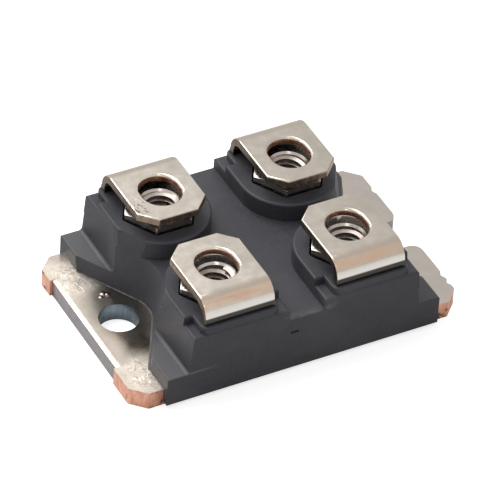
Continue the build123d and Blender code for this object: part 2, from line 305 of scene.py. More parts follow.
# %% A finish with grain
def grained(name, dark, light, grain, roughness, metallic=0.0, relief=0.0, stretch=(1, 1, 1)):
    """A material whose colour and roughness lie between two values, by a noise with grains of one size."""
    material = bpy.data.materials.new(name)
    material.use_nodes = True
    nodes = material.node_tree.nodes
    links = material.node_tree.links
    shader = nodes["Principled BSDF"]
    shader.inputs["Metallic"].default_value = metallic
    place = nodes.new("ShaderNodeTexCoord")
    mapping = nodes.new("ShaderNodeMapping")
    mapping.inputs["Scale"].default_value = stretch
    noise = nodes.new("ShaderNodeTexNoise")
    noise.inputs["Scale"].default_value = 1 / grain
    noise.inputs["Detail"].default_value = 6
    colours = nodes.new("ShaderNodeValToRGB")
    colours.color_ramp.elements[0].position = 0.32
    colours.color_ramp.elements[0].color = (*dark, 1)
    colours.color_ramp.elements[1].position = 0.68
    colours.color_ramp.elements[1].color = (*light, 1)
    gloss = nodes.new("ShaderNodeMapRange")
    gloss.inputs["From Min"].default_value = 0.3
    gloss.inputs["From Max"].default_value = 0.7
    gloss.inputs["To Min"].default_value = roughness[0]
    gloss.inputs["To Max"].default_value = roughness[1]
    bump = nodes.new("ShaderNodeBump")
    bump.name = "relief"
    bump.inputs["Distance"].default_value = relief
    links.new(place.outputs["Object"], mapping.inputs["Vector"])
    links.new(mapping.outputs["Vector"], noise.inputs["Vector"])
    links.new(noise.outputs["Fac"], colours.inputs["Fac"])
    links.new(noise.outputs["Fac"], gloss.inputs["Value"])
    links.new(noise.outputs["Fac"], bump.inputs["Height"])
    links.new(colours.outputs["Color"], shader.inputs["Base Color"])
    links.new(gloss.outputs["Result"], shader.inputs["Roughness"])
    links.new(bump.outputs["Normal"], shader.inputs["Normal"])
    return material


def mix_over(material, fac_socket, colour, name):
    """Lays a colour over what a material's base colour has so far, where a value is 1."""
    nodes = material.node_tree.nodes
    links = material.node_tree.links
    shader = nodes["Principled BSDF"]
    below = shader.inputs["Base Color"].links[0].from_socket
    mix = nodes.new("ShaderNodeMix")
    mix.name = name
    mix.data_type = "RGBA"
    mix.inputs["B"].default_value = (*colour, 1)
    links.new(fac_socket, mix.inputs["Factor"])
    links.new(below, mix.inputs["A"])
    links.new(mix.outputs["Result"], shader.inputs["Base Color"])


def patches(material, size, low, high, stretch=(1, 1, 1), distortion=0.0):
    """A value that goes from 0 to 1 where a second noise, of larger patches, rises from low to high."""
    nodes = material.node_tree.nodes
    links = material.node_tree.links
    place = nodes.new("ShaderNodeTexCoord")
    mapping = nodes.new("ShaderNodeMapping")
    mapping.inputs["Scale"].default_value = stretch
    noise = nodes.new("ShaderNodeTexNoise")
    noise.inputs["Scale"].default_value = 1 / size
    noise.inputs["Detail"].default_value = 4
    noise.inputs["Distortion"].default_value = distortion
    steps = nodes.new("ShaderNodeMapRange")
    steps.inputs["From Min"].default_value = low
    steps.inputs["From Max"].default_value = high
    links.new(place.outputs["Object"], mapping.inputs["Vector"])
    links.new(mapping.outputs["Vector"], noise.inputs["Vector"])
    links.new(noise.outputs["Fac"], steps.inputs["Value"])
    return steps.outputs["Result"]


def along(material, axis, low, high, most):
    """A value that grows from 0 to its most along one axis of the module, from one place to another."""
    nodes = material.node_tree.nodes
    place = nodes.new("ShaderNodeTexCoord")
    parts = nodes.new("ShaderNodeSeparateXYZ")
    ramp = nodes.new("ShaderNodeMapRange")
    ramp.inputs["From Min"].default_value = low
    ramp.inputs["From Max"].default_value = high
    ramp.inputs["To Max"].default_value = most
    material.node_tree.links.new(place.outputs["Object"], parts.inputs[0])
    material.node_tree.links.new(parts.outputs[axis], ramp.inputs["Value"])
    return ramp.outputs["Result"]


def math_node(material, operation, first, second=None):
    """One step of arithmetic on values or sockets."""
    node = material.node_tree.nodes.new("ShaderNodeMath")
    node.operation = operation
    for index, value in enumerate((first, second)):
        if value is None:
            continue
        if isinstance(value, (int, float)):
            node.inputs[index].default_value = value
        else:
            material.node_tree.links.new(value, node.inputs[index])
    return node.outputs[0]


def near_place(material, centre, radius, value):
    """Keeps a value near one place of the module and fades it out to 0 at a radius from there."""
    nodes = material.node_tree.nodes
    place = nodes.new("ShaderNodeTexCoord")
    away = nodes.new("ShaderNodeVectorMath")
    away.operation = "DISTANCE"
    away.inputs[1].default_value = centre
    material.node_tree.links.new(place.outputs["Object"], away.inputs[0])
    fade = nodes.new("ShaderNodeMapRange")
    fade.inputs["From Min"].default_value = radius
    fade.inputs["From Max"].default_value = radius * 0.55
    material.node_tree.links.new(away.outputs["Value"], fade.inputs["Value"])
    return math_node(material, "MULTIPLY", fade.outputs["Result"], value)


def roughen(material, amount_socket):
    """Adds to a material's roughness."""
    rough = material.node_tree.nodes["Principled BSDF"].inputs["Roughness"]
    total = math_node(material, "ADD", rough.links[0].from_socket, amount_socket)
    material.node_tree.links.new(total, rough)

# %% [markdown]
# Nickel over copper is a warm, ivory-coloured metal. Here it is satin rather than bright, with faint
# darker clouds. The end with the hole is the brighter one: towards the open end the plating is painted
# darker, as painted shade. The nuts and their threads are darker copies of the plating, as painted shade.

# %% Nickel plating
def plating(name, dark, light, open_end_shade, roughness):
    """Satin nickel with a fine grain and faint clouds, with painted shade that darkens it towards the open
    end of the plate.
    """
    material = grained(name, dark, light, 1.1 * MM, roughness, metallic=1.0, relief=0.003 * MM)
    clouds = patches(material, 3.2 * MM, 0.46, 0.80)
    mix_over(material, clouds, tuple(value * 0.86 for value in dark), "handling_clouds")
    scuffs = patches(material, 0.6 * MM, 0.70, 0.78, stretch=(1, 0.35, 1), distortion=0.6)
    mix_over(material, scuffs, tuple(value * 0.80 for value in dark), "scuffs")
    # Painted shade: the plating is laid in darker towards the open end of the plate.
    mix_over(material, along(material, "X", -17 * MM, 17 * MM, 0.75), open_end_shade, "painted_shade_open_end")
    return material


plate_nickel = plating("plate_nickel", (0.66, 0.58, 0.50), (0.76, 0.68, 0.59),
                       open_end_shade=(0.37, 0.34, 0.31), roughness=(0.12, 0.18))
strip_nickel = plating("strip_nickel", (0.61, 0.55, 0.48), (0.71, 0.64, 0.57),
                       open_end_shade=(0.34, 0.31, 0.26), roughness=(0.20, 0.29))
# Painted shade: the nut plating and its thread are darker copies of the plating.
nut_nickel_with_painted_shade = plating("nut_nickel_with_painted_shade", (0.42, 0.38, 0.34), (0.54, 0.50, 0.46),
                     open_end_shade=(0.38, 0.35, 0.32), roughness=(0.20, 0.30))
thread_with_painted_shade = grained("thread_with_painted_shade", (0.34, 0.29, 0.26), (0.50, 0.45, 0.41), 0.5 * MM, (0.36, 0.48),
                       metallic=1.0, relief=0.01 * MM)

# %% [markdown]
# The plate is painted darker beside the block, round the notch: a painted reflection of the block in the
# plating. The two left corners look scuffed, with bright scratches in duller metal, and the rolled left
# end is made a little duller.

# %% Painted reflection and marks on the plate
PAINTED_REFLECTION_COLOUR = (0.15, 0.14, 0.12)
RUBBED_COLOUR = (0.42, 0.39, 0.34)
SCRATCH_COLOUR = (0.97, 0.94, 0.88)
ROLLED_END_COLOUR = (0.50, 0.45, 0.38)
PAINTED_BLOCK_REFLECTIONS = [
    # (centre, radius, amount)
    ((-0.0125, 0.0010, 0.0020), 6.2 * MM, 0.85),
    ((-0.0132, 0.0052, 0.0020), 3.6 * MM, 0.55),
    ((-0.0132, -0.0048, 0.0020), 4.2 * MM, 0.55),
]
# Painted reflection: the plate is laid in darker near the block, round the notch.
for centre, radius, amount in PAINTED_BLOCK_REFLECTIONS:
    painted_reflection_mask = near_place(plate_nickel, centre, radius, amount)
    mix_over(plate_nickel, painted_reflection_mask, PAINTED_REFLECTION_COLOUR, "painted_block_reflection")
SCUFFED_CORNERS = ((-0.0163, 0.0076, 0.0020), (-0.0160, -0.0088, 0.0020))
for centre in SCUFFED_CORNERS:
    rubbed = patches(plate_nickel, 0.45 * MM, 0.52, 0.60, distortion=1.2)
    rubbed_corner = near_place(plate_nickel, centre, 3.4 * MM, rubbed)
    mix_over(plate_nickel, rubbed_corner, RUBBED_COLOUR, "rubbed_corner")
    bright = patches(plate_nickel, 0.38 * MM, 0.60, 0.66, stretch=(1, 0.5, 1), distortion=0.8)
    scratches = near_place(plate_nickel, centre, 3.0 * MM, bright)
    mix_over(plate_nickel, scratches, SCRATCH_COLOUR, "bright_scratches")
    roughen(plate_nickel, near_place(plate_nickel, centre, 4.0 * MM, 0.26))

# The rolled left end is made rougher and a little darker.
ROLLED_END_FROM = -17.9 * MM
ROLLED_END_TO = -18.5 * MM
roughen(plate_nickel, along(plate_nickel, "X", ROLLED_END_FROM, ROLLED_END_TO, 0.22))
darker_rolled_end = along(plate_nickel, "X", ROLLED_END_FROM, ROLLED_END_TO, 0.6)
mix_over(plate_nickel, darker_rolled_end, ROLLED_END_COLOUR, "darker_rolled_end")
print("Marks on the plate:", len(PAINTED_BLOCK_REFLECTIONS) + 2 * len(SCUFFED_CORNERS) + 1)

# %% [markdown]
# Round each fold there are bands: a dull one, then a tan one, a silvery one, and a dark one where the
# leg goes into the block. Whether they are in the metal or reflect the surroundings can't be told, so
# the names below only say what they look like. They are painted reflections of the surroundings on the
# bend, and the dark one is painted shade. They follow the bend, so they are laid in as colour by the
# angle round its axis. The four strips share one material, because each is as far from the middle. The
# strip at the back left also looks scraped at one corner.

# %% The bands round the fold
strip_low, strip_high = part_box("terminal_back_right")
STRIP_THICKNESS = 0.8 * MM
STRIP_BEND = 2.0 * MM
bend_y = strip_high.y - STRIP_BEND
bend_z = strip_high.z - STRIP_BEND
# Painted reflections and painted shade, laid in by the angle round the fold.
BANDS = {
    # name: (colour, (angle in degrees, amount) at four places)
    "rubbed_dull": ((0.42, 0.36, 0.30), ((-4, 0.0), (12, 0.9), (24, 0.9), (34, 0.0))),
    "stretched_tan": ((0.54, 0.37, 0.26), ((20, 0.0), (35, 1.0), (50, 1.0), (66, 0.0))),
    "burnished": ((0.84, 0.81, 0.77), ((60, 0.0), (70, 0.9), (84, 0.9), (88, 0.0))),
    "dark_with_resin": ((0.03, 0.028, 0.025), ((84, 0.0), (88, 0.9), (180, 0.9), (200, 0.0))),
}

CURVE_SPAN = 200

def fold_angle(material):
    """The angle round the fold, in radians: 0 where the flat top ends, half pi where the leg begins."""
    nodes = material.node_tree.nodes
    place = nodes.new("ShaderNodeTexCoord")
    parts = nodes.new("ShaderNodeSeparateXYZ")
    material.node_tree.links.new(place.outputs["Object"], parts.inputs[0])
    from_middle = math_node(material, "ABSOLUTE", parts.outputs["Y"])
    outwards = math_node(material, "SUBTRACT", from_middle, bend_y)
    upwards = math_node(material, "SUBTRACT", parts.outputs["Z"], bend_z)
    return math_node(material, "ARCTAN2", outwards, upwards)


def band(material, angle, places):
    """A value that follows the fold: at each of these angles, in degrees, it has the amount beside it."""
    amounts = material.node_tree.nodes.new("ShaderNodeFloatCurve")
    points = amounts.mapping.curves[0].points
    for degrees, amount in places[1:-1]:
        points.new(degrees / CURVE_SPAN, amount)
    points[0].location = (places[0][0] / CURVE_SPAN, places[0][1])
    points[-1].location = (places[-1][0] / CURVE_SPAN, places[-1][1])
    for point in points:
        point.handle_type = "VECTOR"
    amounts.mapping.update()
    share = math_node(material, "DIVIDE", angle, radians(CURVE_SPAN))
    material.node_tree.links.new(share, amounts.inputs["Value"])
    return amounts.outputs[0]


SCRAPED_CORNER = (-0.0114, 0.0047, 0.0119)
scrapes = patches(strip_nickel, 0.30 * MM, 0.53, 0.60, stretch=(1, 0.4, 1), distortion=1.0)
scraped_corner = near_place(strip_nickel, SCRAPED_CORNER, 2.2 * MM, scrapes)
mix_over(strip_nickel, scraped_corner, (0.20, 0.15, 0.11), "scrapes")
fold = fold_angle(strip_nickel)
streaks = patches(strip_nickel, 0.8 * MM, 0.35, 0.62, stretch=(0.35, 1, 1), distortion=0.5)
uneven = math_node(strip_nickel, "ADD", math_node(strip_nickel, "MULTIPLY", streaks, 0.45), 0.5)
for name, (colour, places) in BANDS.items():
    amount = band(strip_nickel, fold, places)
    if name == "stretched_tan":
        amount = math_node(strip_nickel, "MULTIPLY", amount, uneven)
    mix_over(strip_nickel, amount, colour, name)

# %% [markdown]
# In the photograph the cut faces show copper. It looks salmon where it is torn, and brown in places,
# which may be tarnish. Other upright faces, such as the wall of the hole, look grey.

# %% Bare copper
torn_copper = grained("torn_copper", (0.62, 0.30, 0.20), (0.86, 0.50, 0.37), 0.5 * MM, (0.35, 0.5),
                      metallic=0.85, relief=0.05 * MM, stretch=(1, 1, 0.4))
tarnish = patches(torn_copper, 1.4 * MM, 0.56, 0.64, distortion=0.4)
mix_over(torn_copper, tarnish, (0.10, 0.055, 0.05), "tarnish")

tarnished_copper = grained("tarnished_copper", (0.10, 0.055, 0.055), (0.42, 0.24, 0.18), 0.9 * MM,
                           (0.35, 0.5), metallic=0.85, relief=0.03 * MM)
cut_edge = grained("cut_edge", (0.24, 0.18, 0.13), (0.40, 0.31, 0.24), 0.4 * MM, (0.28, 0.42),
                   metallic=1.0, relief=0.02 * MM, stretch=(1, 1, 0.3))
# Painted shade: the long sides of a strip are a darker copy of the cut edge.
painted_shade_side_edge = grained("painted_shade_side_edge", (0.10, 0.08, 0.06), (0.22, 0.17, 0.13), 0.4 * MM, (0.30, 0.42),
                    metallic=1.0, relief=0.02 * MM, stretch=(1, 1, 0.3))
slot_wall = grained("punched_wall", (0.34, 0.17, 0.10), (0.50, 0.28, 0.18), 0.4 * MM, (0.28, 0.40),
                    metallic=1.0, relief=0.02 * MM, stretch=(1, 1, 0.3))
punched_wall = grained("blue_grey_wall", (0.22, 0.27, 0.30), (0.31, 0.36, 0.39), 0.5 * MM, (0.25, 0.35),
                       metallic=1.0, relief=0.02 * MM, stretch=(1, 1, 0.3))
sheared_wall = grained("sheared_wall", (0.27, 0.25, 0.26), (0.36, 0.33, 0.33), 0.5 * MM, (0.30, 0.42),
                       metallic=1.0, relief=0.02 * MM, stretch=(1, 1, 0.3))

# %% [markdown]
# The block looks like epoxy moulding compound: charcoal with a faint violet cast, a fine grain and a dull
# gloss. The tops of the two wings at the screw hole are painted lighter than the rest, as painted light,
# and the front edge of the saddle between the blocks looks rubbed light. The right end is painted darker,
# as painted shade.

# %% Moulding compound
moulding = grained("moulding_compound", (0.035, 0.0345, 0.042), (0.047, 0.046, 0.055), 0.35 * MM,
                   (0.44, 0.58), relief=0.010 * MM)
moulding.node_tree.nodes["Principled BSDF"].inputs["Specular IOR Level"].default_value = 0.36
worn = patches(moulding, 5.0 * MM, 0.48, 0.75)
mix_over(moulding, worn, (0.058, 0.057, 0.066), "dusty_areas")
# Painted light: the tops of the two wings near the screw hole are laid in lighter.
WING_TOPS = ((-0.0148, 0.0105, 0.00385), (-0.0148, -0.0105, 0.00385))
PAINTED_WING_LIGHT_COLOUR = (0.095, 0.093, 0.101)
from_below = along(moulding, "Z", 3.72 * MM, 3.84 * MM, 1.0)
from_above = along(moulding, "Z", 4.10 * MM, 3.98 * MM, 1.0)
at_wing_top = math_node(moulding, "MULTIPLY", from_below, from_above)
for centre in WING_TOPS:
    mix_over(moulding, near_place(moulding, centre, 5.5 * MM, at_wing_top), PAINTED_WING_LIGHT_COLOUR, "painted_wing_light")
# Painted shade: the block is laid in darker towards its right end.
painted_shade_right_end = along(moulding, "X", 9 * MM, 16 * MM, 0.6)
mix_over(moulding, painted_shade_right_end, (0.026, 0.0255, 0.031), "painted_shade_right_end")
WORN_SADDLE_EDGE = (0.0004, -0.0125, 0.0071)
rubbed_edge = patches(moulding, 0.7 * MM, 0.38, 0.60, stretch=(0.6, 1, 1), distortion=0.8)
on_saddle = along(moulding, "Z", 6.90 * MM, 7.05 * MM, 0.75)
by_front_edge = along(moulding, "Y", -11.5 * MM, -12.4 * MM, 1.0)
saddle_edge = math_node(moulding, "MULTIPLY", on_saddle, by_front_edge)
saddle_edge = math_node(moulding, "MULTIPLY", saddle_edge, rubbed_edge)
worn_edge = near_place(moulding, WORN_SADDLE_EDGE, 3.4 * MM, saddle_edge)
mix_over(moulding, worn_edge, (0.105, 0.103, 0.11), "worn_edge")
quartz = patches(moulding, 0.16 * MM, 0.70, 0.74)
mix_over(moulding, quartz, (0.10, 0.10, 0.105), "quartz_grains")

# %% [markdown]
# The pieces sealed inside never show, but each has its own finish, so the module can be opened up or
# cut away in another picture.

# %% Finishes inside
inner_finishes = {
    "ceramic": grained("white_ceramic", (0.78, 0.78, 0.75), (0.86, 0.86, 0.84), 0.3 * MM, (0.45, 0.6)),
    "bonded_copper": grained("bonded_copper", (0.62, 0.32, 0.22), (0.75, 0.42, 0.30), 0.6 * MM,
                             (0.3, 0.45), metallic=1.0, relief=0.01 * MM),
    "solder": grained("solder", (0.42, 0.42, 0.41), (0.58, 0.58, 0.57), 0.8 * MM, (0.35, 0.55),
                      metallic=1.0, relief=0.02 * MM),
    "silicon": grained("silicon", (0.10, 0.11, 0.13), (0.16, 0.17, 0.20), 1.5 * MM, (0.12, 0.2),
                       metallic=0.6),
    "wire": grained("aluminium_wire", (0.66, 0.66, 0.67), (0.78, 0.78, 0.79), 0.2 * MM, (0.25, 0.4),
                    metallic=1.0, relief=0.005 * MM),
}
print("Finishes made:", len([material for material in bpy.data.materials if material.use_nodes]))

# %% [markdown]
# ## The terminal strip
# Each terminal is one stamped strip, 0.8 mm thick. A press cuts the outline and the slot, folds it over
# the nut, and the narrow end goes down into the block. A real strip starts flat, and so does this one: a
# plane is cut to the outline, its outer edge is spun round the fold, and the leg is drawn down from it.
# A Solidify modifier then gives the sheet its thickness.

# %% Sizes of the strip, from its CAD solid
nut_low, nut_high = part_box("nut_back_right")
screw = Vector(((nut_low.x + nut_high.x) / 2, (nut_low.y + nut_high.y) / 2, 0))
STRIP_CORNER_CUT = 1.75 * MM
LEG_HALF_WIDTH = 2.0 * MM
LEG_SHOULDER = 7.3 * MM
FOOT_BEND = 1.3 * MM
FOOT_REACH = 4.9 * MM
SLOT_RADIUS = 2.1 * MM
SLOT_STRETCH = 0.325 * MM
SLOT_RIM = 0.34 * MM
FOLD_STEPS = 14
print("The strip spans", [round(v / MM, 2) for v in strip_high - strip_low], "mm")

# %% Cut the flat outline
flat_length = bend_y - strip_low.y
strip_width = strip_high.x - strip_low.x
bpy.ops.object.select_all(action="DESELECT")
bpy.ops.mesh.primitive_plane_add(size=1, location=(screw.x, strip_low.y + flat_length / 2, strip_high.z))
strip = bpy.context.object
strip.name = "strip"
strip.scale = (strip_width, flat_length, 1)
bake_place(strip)
bpy.ops.object.mode_set(mode="EDIT")
for side in (-1, 1):
    bpy.ops.mesh.select_all(action="SELECT")
    bpy.ops.mesh.bisect(plane_co=(screw.x + side * LEG_HALF_WIDTH, 0, 0), plane_no=(1, 0, 0))
select_where("VERT", lambda v: near(v.co.y, strip_low.y)
             and abs(v.co.x - screw.x) > LEG_HALF_WIDTH + SLACK)
bpy.ops.mesh.bevel(offset=STRIP_CORNER_CUT, affect="VERTICES")

# %% Fold it over and draw down the leg
select_where("EDGE", lambda e: ends_pass(e, lambda p: near(p.y, bend_y)))
bpy.ops.mesh.spin(steps=FOLD_STEPS, angle=radians(90), center=(0, bend_y, bend_z), axis=(1, 0, 0))
select_where("EDGE", lambda e: ends_pass(e, lambda p: near(p.z, bend_z)))
bpy.ops.mesh.extrude_region_move(TRANSFORM_OT_translate={"value": (0, 0, LEG_SHOULDER - bend_z)})
select_where("EDGE", lambda e: ends_pass(e, lambda p: near(p.z, LEG_SHOULDER)
                                         and abs(p.x - screw.x) < LEG_HALF_WIDTH + SLACK))
foot_bend_z = strip_low.z + FOOT_BEND
bpy.ops.mesh.extrude_region_move(TRANSFORM_OT_translate={"value": (0, 0, foot_bend_z - LEG_SHOULDER)})
foot_bend_y = strip_high.y - FOOT_BEND
bpy.ops.mesh.spin(steps=6, angle=radians(90), center=(0, foot_bend_y, foot_bend_z), axis=(1, 0, 0))
select_where("EDGE", lambda e: ends_pass(e, lambda p: near(p.y, foot_bend_y) and p.z < LEG_SHOULDER))
foot_run = FOOT_REACH - FOOT_BEND
bpy.ops.mesh.extrude_region_move(TRANSFORM_OT_translate={"value": (0, -foot_run, 0)})
bpy.ops.mesh.select_all(action="SELECT")
bpy.ops.mesh.remove_doubles(threshold=0.001 * MM)
bpy.ops.object.mode_set(mode="OBJECT")
apply_modifier(strip, "SOLIDIFY", thickness=STRIP_THICKNESS, offset=-1, use_even_offset=True)
print("The folded strip measures", size_in_mm(strip), "mm")

# %% Punch the slot and roll its rim
slot_cutter = round_cutter(SLOT_RADIUS, strip_high.z - 2 * MM, strip_high.z + MM, screw)
bpy.ops.object.mode_set(mode="EDIT")
for side in (-1, 1):
    select_where("VERT", lambda v: (v.co.y - screw.y) * side > SAME)
    bpy.ops.transform.translate(value=(0, side * SLOT_STRETCH, 0))
bpy.ops.object.mode_set(mode="OBJECT")
combine(strip, slot_cutter, "DIFFERENCE")
bpy.ops.object.mode_set(mode="EDIT")
slot_reach = SLOT_RADIUS + SLOT_STRETCH + SLACK
select_where("EDGE", lambda e: ends_pass(e, lambda p: near(p.z, strip_high.z)
             and (p.xy - screw.xy).length < slot_reach) and len(e.link_faces) == 2
             and abs(e.calc_face_angle(0)) > radians(60))
bpy.ops.mesh.bevel(offset=SLOT_RIM, segments=4, affect="EDGES")
bpy.ops.object.mode_set(mode="OBJECT")

# %% [markdown]
# The upper side looks plated and satin, and the cut edges darker and browner, so those faces get
# materials of their own. A cut face is one whose normal lies flat in the strip: sideways, or upright on
# the top run. The long sides are a darker copy of the cut free end, as painted shade, and the wall of the
# slot is brown like bare copper.

# %% Four materials on one strip
for material in (strip_nickel, cut_edge, slot_wall, painted_shade_side_edge):
    strip.data.materials.append(material)
for face in strip.data.polygons:
    sideways = abs(face.normal.x) > 0.9
    upright_on_top = abs(face.normal.z) < 0.2 and face.center.z > bend_z and face.center.y < bend_y
    in_slot = upright_on_top and (face.center.xy - screw.xy).length < slot_reach
    if in_slot:
        face.material_index = 2
    elif sideways:
        face.material_index = 3
    elif upright_on_top:
        face.material_index = 1
print("Faces of bare edge on a strip:", sum(face.material_index > 0 for face in strip.data.polygons))

# %% [markdown]
# ## The nut
# A hex nut is turned from bar: both faces are chamfered at the corners, the bore is countersunk and then
# tapped. The thread shows through the slot, so it is real geometry here. A small trapezoid is swept by
# the Screw modifier, one pitch for each turn, and joined to the wall of the bore.

# %% Turn the hexagon
NUT_CORNER = (nut_high.x - nut_low.x) / 2
NUT_FLAT = (nut_high.y - nut_low.y) / 2
NUT_CHAMFER_DROP = 0.36 * MM
NUT_FACE_RADIUS = 0.94 * NUT_FLAT
NUT_EDGE = 0.12 * MM
nut_height = nut_high.z - nut_low.z
nut_middle = nut_height / 2

bpy.ops.object.select_all(action="DESELECT")
bpy.ops.mesh.primitive_cylinder_add(vertices=6, radius=NUT_CORNER, depth=nut_height, rotation=(0, 0, pi / 2))
nut = bpy.context.object
nut.name = "nut"
bake_place(nut)
turned = round_cutter(NUT_CORNER + HAIR, -nut_middle, nut_middle, (0, 0), sides=72)
bpy.ops.object.mode_set(mode="EDIT")
for side in (-1, 1):
    bpy.ops.mesh.select_all(action="SELECT")
    bpy.ops.mesh.bisect(plane_co=(0, 0, side * (nut_middle - NUT_CHAMFER_DROP)), plane_no=(0, 0, 1))
select_where("FACE", lambda f: abs(f.normal.z) > 0.9)
face_scale = NUT_FACE_RADIUS / (NUT_CORNER + HAIR)
bpy.ops.transform.resize(value=(face_scale, face_scale, 1))
bpy.ops.object.mode_set(mode="OBJECT")
combine(nut, turned, "INTERSECT")
print("The nut measures", size_in_mm(nut), "mm")

# %% Bore and countersink it
THREAD_MAJOR = 2.0 * MM
THREAD_MINOR = 1.63 * MM
THREAD_PITCH = 0.7 * MM
COUNTERSINK = 0.22 * MM
bore = round_cutter(THREAD_MAJOR, -nut_height, nut_height, (0, 0), sides=72)
combine(nut, bore, "DIFFERENCE")
only(nut)
bpy.ops.object.mode_set(mode="EDIT")
select_where("EDGE", lambda e: ends_pass(e, lambda p: near(abs(p.z), nut_middle)
                                         and p.xy.length < THREAD_MAJOR + SLACK))
bpy.ops.mesh.bevel(offset=COUNTERSINK, segments=1, affect="EDGES")
select_where("EDGE", lambda e: (e.verts[0].co.xy - e.verts[1].co.xy).length < SAME
             and e.verts[0].co.xy.length > NUT_FLAT)
bpy.ops.mesh.bevel(offset=NUT_EDGE, segments=3, affect="EDGES")
bpy.ops.object.mode_set(mode="OBJECT")

# %% Cut the thread
THREAD_TURNS = 3.6
STEPS_PER_TURN = 48
RIDGE_ROOT = 0.60 * MM
RIDGE_CREST = 0.16 * MM
RIDGE_BURIED = 0.12 * MM
ridge_depth = THREAD_MAJOR + RIDGE_BURIED - THREAD_MINOR
ridge_middle = THREAD_MINOR + ridge_depth / 2
bpy.ops.object.select_all(action="DESELECT")
bpy.ops.mesh.primitive_plane_add(size=1, rotation=(pi / 2, 0, 0),
                                 location=(ridge_middle, 0, -THREAD_TURNS * THREAD_PITCH / 2))
ridge = bpy.context.object
ridge.name = "thread"
ridge.scale = (ridge_depth, RIDGE_ROOT, 1)
bake_place(ridge)
bpy.ops.object.mode_set(mode="EDIT")
select_where("VERT", lambda v: v.co.x < ridge_middle)
bpy.ops.transform.resize(value=(1, 1, RIDGE_CREST / RIDGE_ROOT))
bpy.ops.mesh.select_all(action="SELECT")
bpy.ops.mesh.delete(type="ONLY_FACE")
bpy.ops.object.mode_set(mode="OBJECT")
thread_steps = round(THREAD_TURNS * STEPS_PER_TURN)
apply_modifier(ridge, "SCREW", angle=2 * pi * THREAD_TURNS, screw_offset=THREAD_PITCH * THREAD_TURNS,
               iterations=1, steps=thread_steps, render_steps=thread_steps, axis="Z")
bpy.ops.object.mode_set(mode="EDIT")
bpy.ops.mesh.select_all(action="SELECT")
bpy.ops.mesh.fill_holes(sides=4)
bpy.ops.mesh.select_all(action="SELECT")
bpy.ops.mesh.normals_make_consistent(inside=False)
bpy.ops.object.mode_set(mode="OBJECT")
combine(nut, ridge, "UNION")
only(nut)
bpy.ops.transform.translate(value=(screw.x, screw.y, nut_low.z + nut_middle))
bake_place(nut)
nut.data.materials.clear()
nut.data.materials.append(nut_nickel_with_painted_shade)
nut.data.materials.append(thread_with_painted_shade)
for face in nut.data.polygons:
    in_bore = (face.center.xy - screw.xy).length < THREAD_MAJOR + HAIR
    face.material_index = 1 if in_bore and abs(face.normal.z) < 0.99 else 0
print("The threaded nut has", len(nut.data.polygons), "faces")

# %% [markdown]
# ## Four of each
# The strip and the nut were modelled at the back right. The other three corners are mirror images. A
# mirrored mesh is inside out, so its normals are turned back. The shading is set last, on each copy.

# %% Copy to the corners
CORNERS = {"front_left": (-1, -1), "front_right": (1, -1), "back_left": (-1, 1), "back_right": (1, 1)}
STRIP_ROLL = 0.20 * MM
STRIP_EDGE = 0.06 * MM

def on_outer_skin(point):
    """True on the side of the strip that faces outwards: the flat top, the bend and the leg."""
    from_bend = Vector((max(point.y - bend_y, 0), max(point.z - bend_z, 0))).length
    return near(from_bend, STRIP_BEND) and point.z > LEG_SHOULDER + SLACK


only(strip)
bpy.ops.object.mode_set(mode="EDIT")
rolled = select_where("EDGE", lambda e: ends_pass(e, on_outer_skin) and len(e.link_faces) == 2
                      and e.calc_face_angle(0) > radians(60))
bpy.ops.mesh.bevel(offset=STRIP_ROLL, segments=4, affect="EDGES")
bpy.ops.object.mode_set(mode="OBJECT")
round_edges(strip, STRIP_EDGE, steps=2)
print("Rolled edges of a strip:", rolled)

def copy_to_corner(model, name, side_x, side_y):
    """A copy of a back-right piece, with its own mesh, mirrored to another corner."""
    only(model)
    bpy.ops.object.duplicate()
    piece = bpy.context.object
    piece.name = name
    piece.data.name = name
    piece.scale = (side_x, side_y, 1)
    bake_place(piece)
    if side_x * side_y < 0:
        bpy.ops.object.mode_set(mode="EDIT")
        bpy.ops.mesh.select_all(action="SELECT")
        bpy.ops.mesh.flip_normals()
        bpy.ops.object.mode_set(mode="OBJECT")
    return piece


def place_piece(piece, node):
    """Hides the CAD node that a piece replaces, and makes the piece ride with the module."""
    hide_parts(node)
    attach(piece, "root")


for corner, (side_x, side_y) in CORNERS.items():
    terminal = copy_to_corner(strip, "strip_" + corner, side_x, side_y)
    shade(terminal)
    place_piece(terminal, "terminal_" + corner)
    threaded = copy_to_corner(nut, "threaded_nut_" + corner, side_x, side_y)
    shade(threaded)
    place_piece(threaded, "nut_" + corner)
    print(corner, "strip", size_in_mm(terminal), "nut", size_in_mm(threaded))
bpy.data.objects.remove(strip)
bpy.data.objects.remove(nut)

# %% [markdown]
# ## The base plate
# The plate is a stamped blank of thick copper, plated, with a round screw hole at one end and an open
# slot at the other. Its upper edge is rolled over at the left end. The copper looks torn and bare at the
# clipped corners, on two tabs at the left end and at the right end, probably where a carrier strip held it.

# %% Stamp the blank
plate_low, plate_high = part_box("base_plate")
PLATE_CORNER_CUT = 1.6 * MM
HOLE_TO_END = 3.95 * MM
HOLE_RADIUS = 2.15 * MM
MOUTH_ROUND = 1.2 * MM
RELIEF_DEPTH = 0.3 * MM
RELIEF_FROM = -6.8 * MM
RELIEF_TO = 8.2 * MM
NICK_DEPTH = 0.28 * MM
NICKS = [(7.4 * MM, 0.6 * MM), (-7.7 * MM, 0.6 * MM), (-9.0 * MM, 0.5 * MM)]
ROLL_WIDTH = 0.62 * MM
ROLL_TILTS = range(2, 21, 3)
PLATE_EDGE = 0.14 * MM
over = MM

